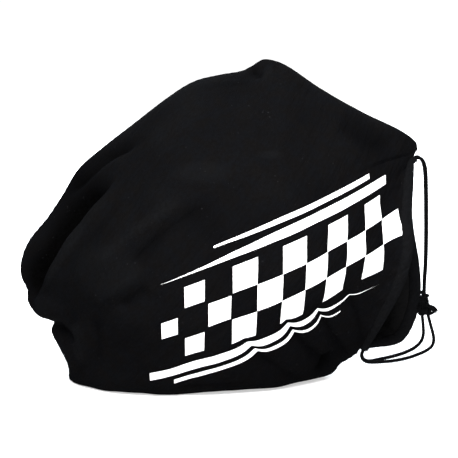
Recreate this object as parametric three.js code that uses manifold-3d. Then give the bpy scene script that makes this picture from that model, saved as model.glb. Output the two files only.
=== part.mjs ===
import * as THREE from "three";
import Module from "manifold-3d";

// Drawstring sack for a motorcycle helmet, standing filled, mouth to the right, millimetres, up is +Z.

// Overall sizes of the standing sack
const WIDTH = 407;
const HEIGHT = 323;
const DEPTH = 265;

// Cloth, casing and cord
const CLOTH = 2;
const GAP = 0.3;
const CORNER_SLACK = 0.8;
const HEM_WALL = 1.3;
const HEM_THICK = 7;
const HEM_SIDE = HEM_THICK / 2 + 2 * GAP;
const CORD = 3.5;
const CORD_SIDES = 8;

// Body of the sack: where the cloth bulges most, and how full it is between there and the rim
const CROWN_X = -0.105 * WIDTH;
const CROWN_Z = 0.48 * HEIGHT;
const FULLNESS = 2.3;
const BULGE = DEPTH / 2 - CLOTH - GAP / 2;
const MOUTH_PINCH = 1.15;
const CORNER_PINCH = 1.4;
const CROWN_PINCH = 0.6;
const PINCH_REACH = 3;
const RIM_REACH = 6;
const RIM_CALMING = 40;
const MOUTH_REACH = 3;
const SOLE_ROUNDING = 12;
const RINGS = 12;
const MOUTH_STEPS = 24;
const HEM_SIDES = 8;

// Side seam from the upper mouth corner over the top, the closed end and the sole to the lower corner.
// Shares of the width from the middle and of the height, pinch of the edge, grid steps to the next row.
// Below the floor the seam is drawn under the sole, which is pressed flat.
const SEAM = [
  { x: 0.474, z: 0.7165, pinch: 1.15, steps: 1 },
  { x: 0.474, z: 0.729, pinch: 1.1, steps: 1 },
  { x: 0.462, z: 0.747, pinch: 0.95, steps: 1 },
  { x: 0.43, z: 0.775, pinch: 0.75, steps: 2 },
  { x: 0.345, z: 0.826, pinch: 0.6, steps: 1 },
  { x: 0.24, z: 0.9, pinch: 0.55, steps: 2 },
  { x: 0.156, z: 0.971, pinch: 0.65, steps: 1 },
  { x: 0.129, z: 0.986, pinch: 0.8, steps: 1 },
  { x: 0.1, z: 0.991, pinch: 0.85, steps: 1 },
  { x: 0.077, z: 0.974, pinch: 0.75, steps: 1 },
  { x: 0.05, z: 0.957, pinch: 0.6, steps: 1 },
  { x: -0.006, z: 0.944, pinch: 0.5, steps: 1 },
  { x: -0.067, z: 0.924, pinch: 0.5, steps: 2 },
  { x: -0.127, z: 0.878, pinch: 0.5, steps: 2 },
  { x: -0.21, z: 0.798, pinch: 0.55, steps: 2 },
  { x: -0.289, z: 0.722, pinch: 0.65, steps: 2 },
  { x: -0.35, z: 0.655, pinch: 0.75, steps: 1 },
  { x: -0.389, z: 0.576, pinch: 0.85, steps: 2 },
  { x: -0.43, z: 0.503, pinch: 1, steps: 2 },
  { x: -0.477, z: 0.43, pinch: 1.05, steps: 1 },
  { x: -0.4965, z: 0.369, pinch: 1.1, steps: 1 },
  { x: -0.496, z: 0.322, pinch: 1.1, steps: 1 },
  { x: -0.478, z: 0.275, pinch: 1.05, steps: 1 },
  { x: -0.476, z: 0.244, pinch: 1, steps: 1 },
  { x: -0.453, z: 0.204, pinch: 0.9, steps: 1 },
  { x: -0.413, z: 0.182, pinch: 0.8, steps: 1 },
  { x: -0.419, z: 0.153, pinch: 0.75, steps: 1 },
  { x: -0.4, z: 0.1, pinch: 0.65, steps: 1 },
  { x: -0.379, z: 0.042, pinch: 0.6, steps: 1 },
  { x: -0.374, z: -0.05, pinch: 0.55, steps: 1 },
  { x: -0.325, z: -0.16, pinch: 0.5, steps: 2 },
  { x: -0.19, z: -0.19, pinch: 0.5, steps: 3 },
  { x: -0.03, z: -0.125, pinch: 0.5, steps: 2 },
  { x: 0.123, z: -0.07, pinch: 0.55, steps: 2 },
  { x: 0.217, z: -0.034, pinch: 0.65, steps: 1 },
  { x: 0.268, z: 0.012, pinch: 0.75, steps: 1 },
  { x: 0.29, z: 0.05, pinch: 0.8, steps: 1 },
  { x: 0.316, z: 0.068, pinch: 1, steps: 1 },
  { x: 0.333, z: 0.081, pinch: 1.3, steps: 1 },
];

// Middle line of each casing from the lower to the upper mouth corner: shares of the width, of the
// depth away from the middle and of the height, and half the casing's breadth as a share of CORD.
const FRONT_HEM = [
  { x: 0.348, y: HEM_SIDE / DEPTH, z: 0.093, half: 1 },
  { x: 0.3545, y: HEM_SIDE / DEPTH + 0.002, z: 0.11, half: 1 },
  { x: 0.364, y: 0.036, z: 0.136, half: 1.2 },
  { x: 0.39, y: 0.094, z: 0.215, half: 1.6 },
  { x: 0.425, y: 0.151, z: 0.323, half: 1.75 },
  { x: 0.4447, y: 0.17, z: 0.43, half: 1.75 },
  { x: 0.4435, y: 0.132, z: 0.536, half: 1.75 },
  { x: 0.4505, y: 0.068, z: 0.62, half: 1.6 },
  { x: 0.456, y: 0.03, z: 0.66, half: 1.3 },
  { x: 0.4595, y: HEM_SIDE / DEPTH + 0.001, z: 0.682, half: 1 },
  { x: 0.4655, y: HEM_SIDE / DEPTH, z: 0.6895, half: 1 },
  { x: 0.472, y: HEM_SIDE / DEPTH, z: 0.695, half: 1 },
];
const BACK_HEM = [
  { x: 0.353, y: HEM_SIDE / DEPTH, z: 0.09, half: 1 },
  { x: 0.36, y: HEM_SIDE / DEPTH + 0.003, z: 0.1, half: 1 },
  { x: 0.38, y: 0.042, z: 0.104, half: 1.3 },
  { x: 0.418, y: 0.079, z: 0.106, half: 1.6 },
  { x: 0.441, y: 0.098, z: 0.114, half: 1.7 },
  { x: 0.458, y: 0.117, z: 0.137, half: 1.75 },
  { x: 0.477, y: 0.145, z: 0.19, half: 1.75 },
  { x: 0.4857, y: 0.17, z: 0.255, half: 1.75 },
  { x: 0.481, y: 0.174, z: 0.34, half: 1.75 },
  { x: 0.464, y: 0.148, z: 0.455, half: 1.75 },
  { x: 0.455, y: 0.1, z: 0.56, half: 1.7 },
  { x: 0.4573, y: 0.045, z: 0.63, half: 1.5 },
  { x: 0.4585, y: 0.022, z: 0.66, half: 1.2 },
  { x: 0.4605, y: HEM_SIDE / DEPTH + 0.001, z: 0.682, half: 1 },
  { x: 0.4655, y: HEM_SIDE / DEPTH, z: 0.6895, half: 1 },
  { x: 0.472, y: HEM_SIDE / DEPTH, z: 0.695, half: 1 },
];

// Folds pressed into each panel, as seen from the front: both ends in shares of the width and the
// height, sideways bow, breadth and rise in millimetres; a rise below nought is a valley.
const FRONT_FOLDS = [
  { x0: -0.47, z0: 0.29, x1: -0.27, z1: 0.66, bow: 10, breadth: 13, rise: -18 },
  { x0: -0.44, z0: 0.29, x1: -0.24, z1: 0.61, bow: 10, breadth: 9, rise: 8 },
  { x0: -0.385, z0: 0.56, x1: -0.23, z1: 0.72, bow: 5, breadth: 8, rise: -9 },
  { x0: -0.215, z0: 0.43, x1: -0.12, z1: 0.565, bow: 3, breadth: 10, rise: -7 },
  { x0: -0.25, z0: 0.31, x1: -0.165, z1: 0.37, bow: -2, breadth: 10, rise: -6 },
  { x0: -0.42, z0: 0.22, x1: -0.3, z1: 0.24, bow: 3, breadth: 8, rise: -6 },
  { x0: 0.09, z0: 0.24, x1: 0.245, z1: 0.07, bow: 4, breadth: 8, rise: -5 },
  { x0: 0.2, z0: 0.26, x1: 0.29, z1: 0.09, bow: 4, breadth: 8, rise: -6 },
  { x0: 0.28, z0: 0.3, x1: 0.335, z1: 0.11, bow: 3, breadth: 8, rise: -6 },
  { x0: 0.34, z0: 0.36, x1: 0.37, z1: 0.17, bow: 3, breadth: 7, rise: -5 },
  { x0: 0.26, z0: 0.745, x1: 0.42, z1: 0.665, bow: 4, breadth: 17, rise: -7 },
  { x0: 0.12, z0: 0.95, x1: 0.03, z1: 0.9, bow: 3, breadth: 8, rise: -6 },
];
const BACK_FOLDS = [
  { x0: -0.46, z0: 0.33, x1: -0.27, z1: 0.6, bow: -8, breadth: 12, rise: -11 },
  { x0: -0.37, z0: 0.14, x1: -0.22, z1: 0.33, bow: 6, breadth: 11, rise: -7 },
  { x0: -0.1, z0: 0.86, x1: 0.06, z1: 0.62, bow: 6, breadth: 11, rise: -6 },
  { x0: 0.12, z0: 0.92, x1: 0.22, z1: 0.6, bow: -5, breadth: 10, rise: -7 },
  { x0: 0.18, z0: 0.42, x1: 0.36, z1: 0.13, bow: -5, breadth: 9, rise: -7 },
  { x0: 0.28, z0: 0.52, x1: 0.43, z1: 0.28, bow: 4, breadth: 9, rise: -6 },
  { x0: 0.27, z0: 0.76, x1: 0.42, z1: 0.64, bow: 5, breadth: 14, rise: -9 },
];

// Free cords, exit first: points in millimetres
const UPPER_FRONT = [
  [192.8, -4.1, 224.7],
  [196, -4.1, 225.2],
  [199.6, -4, 223.6],
  [201.6, -3.8, 219.6],
  [202.1, -3.7, 212],
  [202.6, -3.4, 195],
  [203.4, -3, 165],
  [203.9, -2.6, 135],
  [204, -2.3, 112],
  [203.6, -2, 98],
  [203.5, -1.95, 85.9],
];
const UPPER_BACK = [
  [192.8, 4.1, 224.7],
  [195.8, 4.1, 225.1],
  [199.2, 4.1, 223.4],
  [201, 4, 219.4],
  [201.5, 3.9, 212],
  [202.1, 3.6, 195],
  [203, 3.2, 165],
  [203.4, 2.8, 135],
  [203.6, 2.4, 112],
  [203.4, 2.1, 98],
  [203.5, 1.95, 85.9],
];
const LOWER_FRONT = [
  [141.4, -4.1, 29.6],
  [140.6, -4.2, 27.2],
  [140.1, -4.4, 24],
  [141.6, -4.6, 20.4],
  [145.2, -4.8, 18],
  [150, -4.8, 17.4],
  [158, -4.6, 17.6],
  [172.4, -4.2, 18.5],
  [186.4, -3.8, 21.6],
  [197.4, -3.4, 25.4],
  [206, -3, 29.4],
  [211.2, -2.6, 34],
  [212.8, -2.2, 40],
  [211.6, -1.6, 47],
  [209.4, -0.6, 54],
  [208, 0.8, 60],
  [207.4, 2, 64.8],
];
const LOWER_BACK = [
  [143, 4.1, 28.6],
  [141.8, 4.2, 26.6],
  [141, 4.4, 23.4],
  [142.2, 4.6, 20],
  [145.6, 4.8, 17.8],
  [150, 4.8, 17.5],
  [158, 4.6, 18.8],
  [171.4, 4.2, 22],
  [185, 3.6, 26.6],
  [195, 3, 31.8],
  [200.6, 2.4, 37.6],
  [202.6, 1.8, 44.6],
  [202, 0.8, 52],
  [200.4, -0.8, 59.6],
  [199.7, -2, 64.8],
];

// Knot: three lobes of doubled cord about this middle, with four short cut ends
const KNOT = new THREE.Vector3(203.5, 0, 74);
const KNOT_CORD = 5.2;
const KNOT_BROAD = 2.6;
const KNOT_TALL = 3;
const KNOT_DEEP = 2.7;
const KNOT_STEPS = 30;
const TAILS = [
  [[207, -1.5, 72], [212, -2.6, 70.6], [217, -2.8, 67.2]],
  [[208, 1.5, 70.5], [212, 3, 68.5], [215.4, 3.6, 64.6]],
];

const CLOTH_BLACK = { color: 0x151517, roughness: 0.95, metalness: 0 };
const HEM_BLACK = { color: 0x131315, roughness: 0.92, metalness: 0 };
const CORD_BLACK = { color: 0x0c0c0d, roughness: 0.8, metalness: 0 };

const group = new THREE.Group();
group.name = "motorcycle_helmet_bag";

function addPiece(name, geometry, look) {
  const mesh = new THREE.Mesh(geometry, new THREE.MeshStandardMaterial(look));
  mesh.name = name;
  group.add(mesh);
}

// A closed skin over rows of points that run all the way round; each pole closes one end, and
// without poles the last row joins the first.
function skin(rows, poles) {
  const around = rows[0].length;
  const points = rows.flat().concat(poles);
  const faces = [];
  const joins = poles.length ? rows.length - 1 : rows.length;
  for (let r = 0; r < joins; r++) {
    for (let c = 0; c < around; c++) {
      const d = (c + 1) % around;
      const here = r * around;
      const next = ((r + 1) % rows.length) * around;
      faces.push(here + c, here + d, next + d, here + c, next + d, next + c);
    }
  }
  if (poles.length) {
    const first = rows.length * around;
    const last = (rows.length - 1) * around;
    for (let c = 0; c < around; c++) {
      const d = (c + 1) % around;
      faces.push(first, d, c, first + 1, last + c, last + d);
    }
  }
  const geometry = new THREE.BufferGeometry().setFromPoints(points);
  geometry.setIndex(faces);
  return geometry;
}

// Casing frames at even steps of the table: middle, way along, way towards the cloth, half breadth.
function hemFrames(table, side) {
  const line = new THREE.CatmullRomCurve3(
    table.map((row) => new THREE.Vector3(row.x * WIDTH, side * row.y * DEPTH, row.z * HEIGHT)),
  );
  const frames = [];
  for (let i = 0; i <= MOUTH_STEPS; i++) {
    const t = i / MOUTH_STEPS;
    const along = line.getTangent(t);
    const lean = 0.3 * Math.sin(Math.PI * t);
    const inward = new THREE.Vector3(0, 1, 0).cross(along).negate().normalize();
    inward.multiplyScalar(Math.cos(lean)).add(new THREE.Vector3(0, side * Math.sin(lean), 0));
    inward.addScaledVector(along, -inward.dot(along)).normalize();
    const place = t * (table.length - 1);
    const row = Math.min(Math.floor(place), table.length - 2);
    const half = CORD * THREE.MathUtils.lerp(table[row].half, table[row + 1].half, place - row);
    frames.push({ middle: line.getPoint(t), along, inward, half });
  }
  return frames;
}

// An oval ring of points about one casing frame.
function ovalAt(frame, breadth, thickness, sides) {
  const across = new THREE.Vector3().crossVectors(frame.along, frame.inward);
  return Array.from({ length: sides }, (_, i) => {
    const turn = (2 * Math.PI * (i + 0.5)) / sides;
    return frame.middle
      .clone()
      .addScaledVector(frame.inward, breadth * Math.cos(turn))
      .addScaledVector(across, thickness * Math.sin(turn));
  });
}

// Hollow casing: an oval sleeve with open ends.
function hemSkin(frames) {
  const sleeve = (wall) =>
    frames.map((f) => ovalAt(f, f.half - wall, HEM_THICK / 2 - wall, HEM_SIDES));
  return skin(sleeve(0).concat(sleeve(HEM_WALL).reverse()), []);
}

// The cord inside a casing, flush with both ends.
function heldCord(frames) {
  const rows = frames.map((f) => ovalAt(f, CORD / 2, CORD / 2, CORD_SIDES));
  return skin(rows, [frames[0].middle, frames[frames.length - 1].middle]);
}

// Rim of one panel: the side seam, then the edge along its casing.
function rimOf(frames, side) {
  const seam = new THREE.CatmullRomCurve3(
    SEAM.map((row) => new THREE.Vector3(row.x * WIDTH, 0, row.z * HEIGHT)),
  );
  const rim = [];
  SEAM.forEach((row, i) => {
    const next = SEAM[i + 1];
    for (let q = 0; next && q < row.steps; q++) {
      const share = q / row.steps;
      const point = seam.getPoint((i + share) / (SEAM.length - 1));
      point.y = (side * GAP) / 2;
      rim.push({ point, pinch: THREE.MathUtils.lerp(row.pinch, next.pinch, share) });
    }
  });
  const last = SEAM[SEAM.length - 1];
  rim.push({
    point: new THREE.Vector3(last.x * WIDTH, (side * GAP) / 2, last.z * HEIGHT),
    pinch: last.pinch,
  });
  frames.forEach((frame, i) => {
    const corner = Math.abs((2 * i) / MOUTH_STEPS - 1) ** 3;
    const face = new THREE.Vector3().crossVectors(frame.inward, frame.along).multiplyScalar(side * CLOTH);
    const clear = frame.half + GAP + CORNER_SLACK * corner;
    const point = frame.middle.clone().addScaledVector(frame.inward, clear);
    point.addScaledVector(face, -0.5);
    const pinch = THREE.MathUtils.lerp(MOUTH_PINCH, CORNER_PINCH, corner);
    rim.push({ point, pinch, face });
  });
  return rim;
}

// The rim with its corners and lobes calmed, which the rings nearer the crown follow.
function calmRim(rim) {
  let calm = rim.map(({ point, pinch }) => ({ point: point.clone(), pinch }));
  for (let pass = 0; pass < RIM_CALMING; pass++) {
    calm = calm.map((here, i) => {
      const before = calm[(i + calm.length - 1) % calm.length];
      const after = calm[(i + 1) % calm.length];
      return {
        point: before.point.clone().lerp(after.point, 0.5).lerp(here.point, 0.5),
        pinch: (before.pinch + after.pinch + 2 * here.pinch) / 4,
      };
    });
  }
  return calm;
}

// Height kept off the floor: flat below it, and rounded into the side above.
function settle(z) {
  const lift = z - CLOTH;
  if (lift >= SOLE_ROUNDING) return z;
  if (lift <= -SOLE_ROUNDING) return CLOTH;
  return CLOTH + (lift + SOLE_ROUNDING) ** 2 / (4 * SOLE_ROUNDING);
}

// How far the folds lift the cloth at a place seen from the front.
function foldRise(folds, x, z) {
  let rise = 0;
  for (const fold of folds) {
    const ax = fold.x0 * WIDTH;
    const az = fold.z0 * HEIGHT;
    const bx = fold.x1 * WIDTH - ax;
    const bz = fold.z1 * HEIGHT - az;
    const length = Math.hypot(bx, bz);
    const along = ((x - ax) * bx + (z - az) * bz) / length ** 2;
    const beside = ((z - az) * bx - (x - ax) * bz) / length;
    const off = beside - fold.bow * (1 - (2 * along - 1) ** 2);
    const fade = Math.exp(-((Math.max(0, Math.abs(along - 0.5) - 0.35) / 0.15) ** 2));
    rise += fold.rise * fade * Math.exp(-((off / fold.breadth) ** 2));
  }
  return rise;
}

function normalsOf(rows, pole) {
  const flat = rows.flat().concat(pole);
  const around = rows[0].length;
  const faces = [];
  for (let r = 0; r + 1 < rows.length; r++) {
    for (let c = 0; c < around; c++) {
      const d = (c + 1) % around;
      const here = r * around;
      const next = here + around;
      faces.push(here + c, next + c, next + d, here + c, next + d, here + d);
    }
  }
  for (let c = 0; c < around; c++) faces.push(rows.length * around, c, (c + 1) % around);
  const sheet = new THREE.BufferGeometry().setFromPoints(flat);
  sheet.setIndex(faces);
  sheet.computeVertexNormals();
  return flat.map((_, i) => new THREE.Vector3().fromBufferAttribute(sheet.attributes.normal, i));
}

// One cloth half: rings that bulge from the rim to the crown, pressed flat on the floor and folded.
function panelSkin(rim, side, folds) {
  const crown = new THREE.Vector3(CROWN_X, side * (GAP / 2 + BULGE), CROWN_Z);
  const calm = calmRim(rim);
  const rings = [];
  for (let r = 1; r <= RINGS; r++) {
    const turn = (Math.PI / 2) * (r / RINGS);
    const share = Math.sin(turn) ** (2 / FULLNESS);
    const reach = share ** RIM_REACH;
    rings.push(
      rim.map(({ point, pinch }, i) => {
        const edge = calm[i].point.clone().lerp(point, reach);
        const edgePinch = THREE.MathUtils.lerp(calm[i].pinch, pinch, reach);
        const power = THREE.MathUtils.lerp(CROWN_PINCH, edgePinch, share ** PINCH_REACH);
        const x = CROWN_X + share * (edge.x - CROWN_X);
        const z = CROWN_Z + share * (edge.z - CROWN_Z);
        const cosine = r === RINGS ? 0 : Math.cos(turn);
        const y = side * BULGE * cosine ** (2 * power) + edge.y * share ** MOUTH_REACH;
        return new THREE.Vector3(x, y, settle(z));
      }),
    );
  }
  const outward = side < 0 ? 1 : -1;
  const lay = normalsOf(rings, crown);
  const around = rim.length;
  rings.forEach((ring, r) => {
    const fade = 1 - ((r + 1) / RINGS) ** 6;
    ring.forEach((point, c) => {
      const rise = fade * foldRise(folds, point.x, point.z);
      point.addScaledVector(lay[r * around + c], outward * rise);
      point.z = Math.max(point.z, CLOTH);
    });
  });
  const thick = normalsOf(rings, crown);
  const outer = rings.map((ring, r) =>
    ring.map((point, c) => {
      const face = r === RINGS - 1 && rim[c].face;
      const moved = face
        ? point.clone().add(face)
        : point.clone().addScaledVector(thick[r * around + c], outward * CLOTH);
      moved.y = side * Math.max(side * moved.y, GAP / 2);
      moved.z = Math.max(moved.z, 0);
      return moved;
    }),
  );
  const top = crown.clone().addScaledVector(thick[thick.length - 1], outward * CLOTH);
  const rows = outer.concat(rings.slice().reverse());
  return skin(side > 0 ? rows : rows.map((row) => row.slice().reverse()), [top, crown]);
}

function round(diameter) {
  const shape = new THREE.Shape();
  for (let i = 0; i < CORD_SIDES; i++) {
    const turn = (2 * Math.PI * i) / CORD_SIDES;
    const x = (diameter / 2) * Math.cos(turn);
    const y = (diameter / 2) * Math.sin(turn);
    if (i) shape.lineTo(x, y);
    else shape.moveTo(x, y);
  }
  shape.closePath();
  return shape;
}

function cordAlong(points, diameter, steps) {
  const line = new THREE.CatmullRomCurve3(points);
  return new THREE.ExtrudeGeometry(round(diameter), { steps, extrudePath: line, bevelEnabled: false });
}

function asVectors(table) {
  return table.map(([x, y, z]) => new THREE.Vector3(x, y, z));
}

const wasm = await Module();
wasm.setup();

function solidOf(geometry) {
  const position = geometry.attributes.position;
  const seen = new Map();
  const corners = [];
  const faces = [];
  const index = geometry.index ? Array.from(geometry.index.array) : [...Array(position.count).keys()];
  for (const i of index) {
    const corner = [position.getX(i), position.getY(i), position.getZ(i)];
    const key = corner.map((value) => value.toFixed(4)).join();
    if (!seen.has(key)) {
      seen.set(key, corners.length / 3);
      corners.push(...corner);
    }
    faces.push(seen.get(key));
  }
  return new wasm.Manifold(
    new wasm.Mesh({
      numProp: 3,
      vertProperties: new Float32Array(corners),
      triVerts: new Uint32Array(faces),
    }),
  );
}

function geometryOf(solid) {
  const mesh = solid.getMesh();
  const geometry = new THREE.BufferGeometry();
  geometry.setAttribute("position", new THREE.Float32BufferAttribute(mesh.vertProperties, 3));
  geometry.setIndex(Array.from(mesh.triVerts));
  return geometry;
}

// Three crossing lobes, one up and two down.
class KnotLoop extends THREE.Curve {
  getPoint(t) {
    const turn = 2 * Math.PI * t;
    return new THREE.Vector3(
      KNOT.x + KNOT_BROAD * (Math.sin(turn) + 2 * Math.sin(2 * turn)),
      KNOT.y - KNOT_DEEP * Math.sin(3 * turn),
      KNOT.z - KNOT_TALL * (Math.cos(turn) - 2 * Math.cos(2 * turn)),
    );
  }
}

const frontFrames = hemFrames(FRONT_HEM, -1);
const backFrames = hemFrames(BACK_HEM, 1);
addPiece("front_panel", panelSkin(rimOf(frontFrames, -1), -1, FRONT_FOLDS), CLOTH_BLACK);
addPiece("back_panel", panelSkin(rimOf(backFrames, 1), 1, BACK_FOLDS), CLOTH_BLACK);
addPiece("front_hem", hemSkin(frontFrames), HEM_BLACK);
addPiece("back_hem", hemSkin(backFrames), HEM_BLACK);
addPiece("front_drawcord", heldCord(frontFrames), CORD_BLACK);
addPiece("back_drawcord", heldCord(backFrames), CORD_BLACK);
addPiece("upper_front_strand", cordAlong(asVectors(UPPER_FRONT), CORD, 21), CORD_BLACK);
addPiece("upper_back_strand", cordAlong(asVectors(UPPER_BACK), CORD, 21), CORD_BLACK);
addPiece("lower_front_strand", cordAlong(asVectors(LOWER_FRONT), CORD, 20), CORD_BLACK);
addPiece("lower_back_strand", cordAlong(asVectors(LOWER_BACK), CORD, 20), CORD_BLACK);

const loop = new THREE.TubeGeometry(new KnotLoop(), KNOT_STEPS, KNOT_CORD / 2, CORD_SIDES, true);
const tails = TAILS.map((tail) => solidOf(cordAlong(asVectors(tail), CORD, 3)));
addPiece("cord_knot", geometryOf(wasm.Manifold.union([solidOf(loop), ...tails])), CORD_BLACK);

export default group;
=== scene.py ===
"""Drawstring sack for a motorcycle helmet, standing filled on a pale floor. Metres, up is +Z."""

import math

import bpy
import numpy as np
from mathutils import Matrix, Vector


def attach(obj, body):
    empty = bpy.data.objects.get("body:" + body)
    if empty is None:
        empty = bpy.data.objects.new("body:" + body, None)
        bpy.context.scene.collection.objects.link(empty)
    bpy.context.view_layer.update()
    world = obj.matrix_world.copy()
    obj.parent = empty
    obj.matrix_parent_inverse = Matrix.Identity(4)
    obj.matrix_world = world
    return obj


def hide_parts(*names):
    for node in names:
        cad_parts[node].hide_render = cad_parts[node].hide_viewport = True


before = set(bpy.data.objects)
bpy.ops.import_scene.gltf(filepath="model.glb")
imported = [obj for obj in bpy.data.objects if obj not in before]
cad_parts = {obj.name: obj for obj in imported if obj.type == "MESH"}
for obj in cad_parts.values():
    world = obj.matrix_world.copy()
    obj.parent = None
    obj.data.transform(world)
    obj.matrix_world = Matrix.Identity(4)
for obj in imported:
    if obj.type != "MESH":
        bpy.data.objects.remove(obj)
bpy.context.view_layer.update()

# Driving sizes
WIDTH = 0.407
HEIGHT = 0.323
DEPTH = 0.265
CLOTH = 0.002
GAP = 0.0003
CORD = 0.0035
HEM_THICK = 0.007
HEM_WALL = 0.0013
HEM_SIDE = (HEM_THICK / 2 + 2 * GAP) / DEPTH
# How far each casing leans outwards half-way up the mouth, in radians, and how far from the casing's
# edge its cloth half is tucked
HEM_LEAN = 0.3
TUCK_MIDDLE = -0.0006
TUCK_CORNER = 0.0002

# Body of the sack, as the solids have it: the point that bulges most, how square the rings are, how
# far the crown stands out, and the pinch of the edge: a power under 1 is blunt and one over 1 is sharp
CROWN = np.array([-0.105 * WIDTH, 0.48 * HEIGHT])
FULLNESS = 2.3
BULGE = DEPTH / 2 - CLOTH - GAP / 2
MOUTH_PINCH = 1.15
CORNER_PINCH = 1.4
CROWN_PINCH = 0.6
# Powers that keep the pinch, the rim's own shape and the mouth's spread near the rim
PINCH_REACH = 3
RIM_REACH = 6
MOUTH_REACH = 3
# Averagings of the rim for the inner rings, over a rim of so many steps, and steps along the mouth
RIM_CALMING = 40
RIM_STEPS = 78
MOUTH_STEPS = 24
SOLE_ROUNDING = 0.012

# Fineness of the cloth: columns to one step of the rim, rings outside and inside, how much the inner
# ones crowd towards the rim, and those near the crown that are kept too. Over the last rings before
# the mouth the cloth's thickness turns into line with its casing.
FINER = 8
RINGS = 110
INNER_RINGS = 34
INNER_CROWD = 0.7
CROWN_RINGS = (2, 5)
EDGE_RINGS = 16

# Side seam from the upper mouth corner over the top, the closed end and the sole to the lower corner:
# x and z as shares of the width and the height, pinch of the edge, steps to the next row.
SEAM = np.array([
    (0.474, 0.7165, 1.15, 1), (0.474, 0.729, 1.1, 1), (0.462, 0.747, 0.95, 1), (0.43, 0.775, 0.75, 2),
    (0.345, 0.826, 0.6, 1), (0.24, 0.9, 0.55, 2), (0.156, 0.971, 0.65, 1), (0.129, 0.986, 0.8, 1),
    (0.1, 0.991, 0.85, 1), (0.077, 0.974, 0.75, 1), (0.05, 0.957, 0.6, 1), (-0.006, 0.944, 0.5, 1),
    (-0.067, 0.924, 0.5, 2), (-0.127, 0.878, 0.5, 2), (-0.21, 0.798, 0.55, 2), (-0.289, 0.722, 0.65, 2),
    (-0.35, 0.655, 0.75, 1), (-0.389, 0.576, 0.85, 2), (-0.43, 0.503, 1, 2), (-0.477, 0.43, 1.05, 1),
    (-0.4965, 0.369, 1.1, 1), (-0.496, 0.322, 1.1, 1), (-0.478, 0.275, 1.05, 1), (-0.476, 0.244, 1, 1),
    (-0.453, 0.204, 0.9, 1), (-0.413, 0.182, 0.8, 1), (-0.419, 0.153, 0.75, 1), (-0.4, 0.1, 0.65, 1),
    (-0.379, 0.042, 0.6, 1), (-0.374, -0.05, 0.55, 1), (-0.325, -0.16, 0.5, 2), (-0.19, -0.19, 0.5, 3),
    (-0.03, -0.125, 0.5, 2), (0.123, -0.07, 0.55, 2), (0.217, -0.034, 0.65, 1), (0.268, 0.012, 0.75, 1),
    (0.29, 0.05, 0.8, 1), (0.316, 0.068, 1, 1), (0.333, 0.081, 1.3, 1),
])

# Middle line of each casing, lower to upper mouth corner: x, depth from the middle and z as shares,
# half the casing's breadth as a share of the cord.
FRONT_HEM = np.array([
    (0.348, HEM_SIDE, 0.093, 1), (0.3545, HEM_SIDE + 0.002, 0.11, 1), (0.364, 0.036, 0.136, 1.2),
    (0.39, 0.094, 0.215, 1.6), (0.425, 0.151, 0.323, 1.75), (0.4447, 0.17, 0.43, 1.75),
    (0.4435, 0.132, 0.536, 1.75), (0.4505, 0.068, 0.62, 1.6), (0.456, 0.03, 0.66, 1.3),
    (0.4595, HEM_SIDE + 0.001, 0.682, 1), (0.4655, HEM_SIDE, 0.6895, 1), (0.472, HEM_SIDE, 0.695, 1),
])
BACK_HEM = np.array([
    (0.353, HEM_SIDE, 0.09, 1), (0.36, HEM_SIDE + 0.003, 0.1, 1), (0.38, 0.042, 0.104, 1.3),
    (0.418, 0.079, 0.106, 1.6), (0.441, 0.098, 0.114, 1.7), (0.458, 0.117, 0.137, 1.75),
    (0.477, 0.145, 0.19, 1.75), (0.4857, 0.17, 0.255, 1.75), (0.481, 0.174, 0.34, 1.75),
    (0.464, 0.148, 0.455, 1.75), (0.455, 0.1, 0.56, 1.7), (0.4573, 0.045, 0.63, 1.5),
    (0.4585, 0.022, 0.66, 1.2), (0.4605, HEM_SIDE + 0.001, 0.682, 1), (0.4655, HEM_SIDE, 0.6895, 1),
    (0.472, HEM_SIDE, 0.695, 1),
])

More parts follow.
